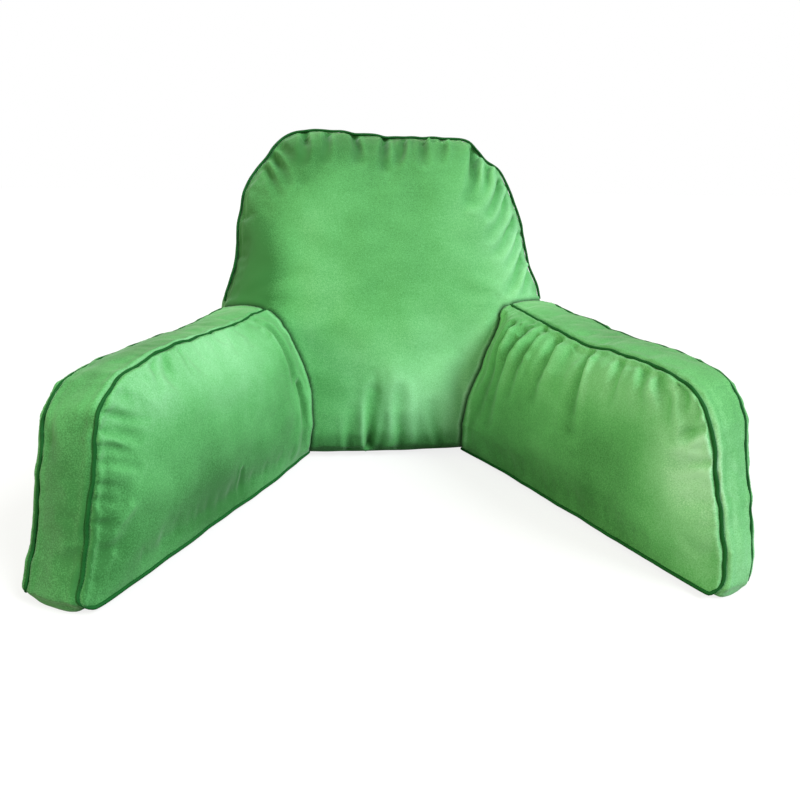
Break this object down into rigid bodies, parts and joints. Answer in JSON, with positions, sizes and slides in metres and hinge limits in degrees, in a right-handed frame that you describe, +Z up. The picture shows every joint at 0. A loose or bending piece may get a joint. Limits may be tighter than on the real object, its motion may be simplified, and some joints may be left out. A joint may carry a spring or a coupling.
{
  "type": "bed rest back cushion with arms",
  "caption": "Bed rest back cushion: a reclined boxed back with splayed boxed arms, crowned velvet panels and corded seams, standing on its flat base.",
  "frame": {"origin": "middle of the back's base, on the surface the cushion stands on", "axes": "+Z up, X across the back with the right arm at +X as the sitter sees it from the front, the arms reach towards -Y"},
  "size_m": [0.7746, 0.7688, 0.4903],
  "materials": {
    "velvet": "soft short-pile velvet, mid green",
    "piping": "cord covered in the same velvet, reads darker"
  },
  "bodies": {
    "root": {"back_cushion": "velvet", "arm_left": "velvet", "arm_right": "velvet", "back_piping_front": "piping", "back_piping_rear": "piping", "arm_left_piping_inner": "piping", "arm_left_piping_outer": "piping", "arm_right_piping_inner": "piping", "arm_right_piping_outer": "piping"}
  },
  "joints": []
}
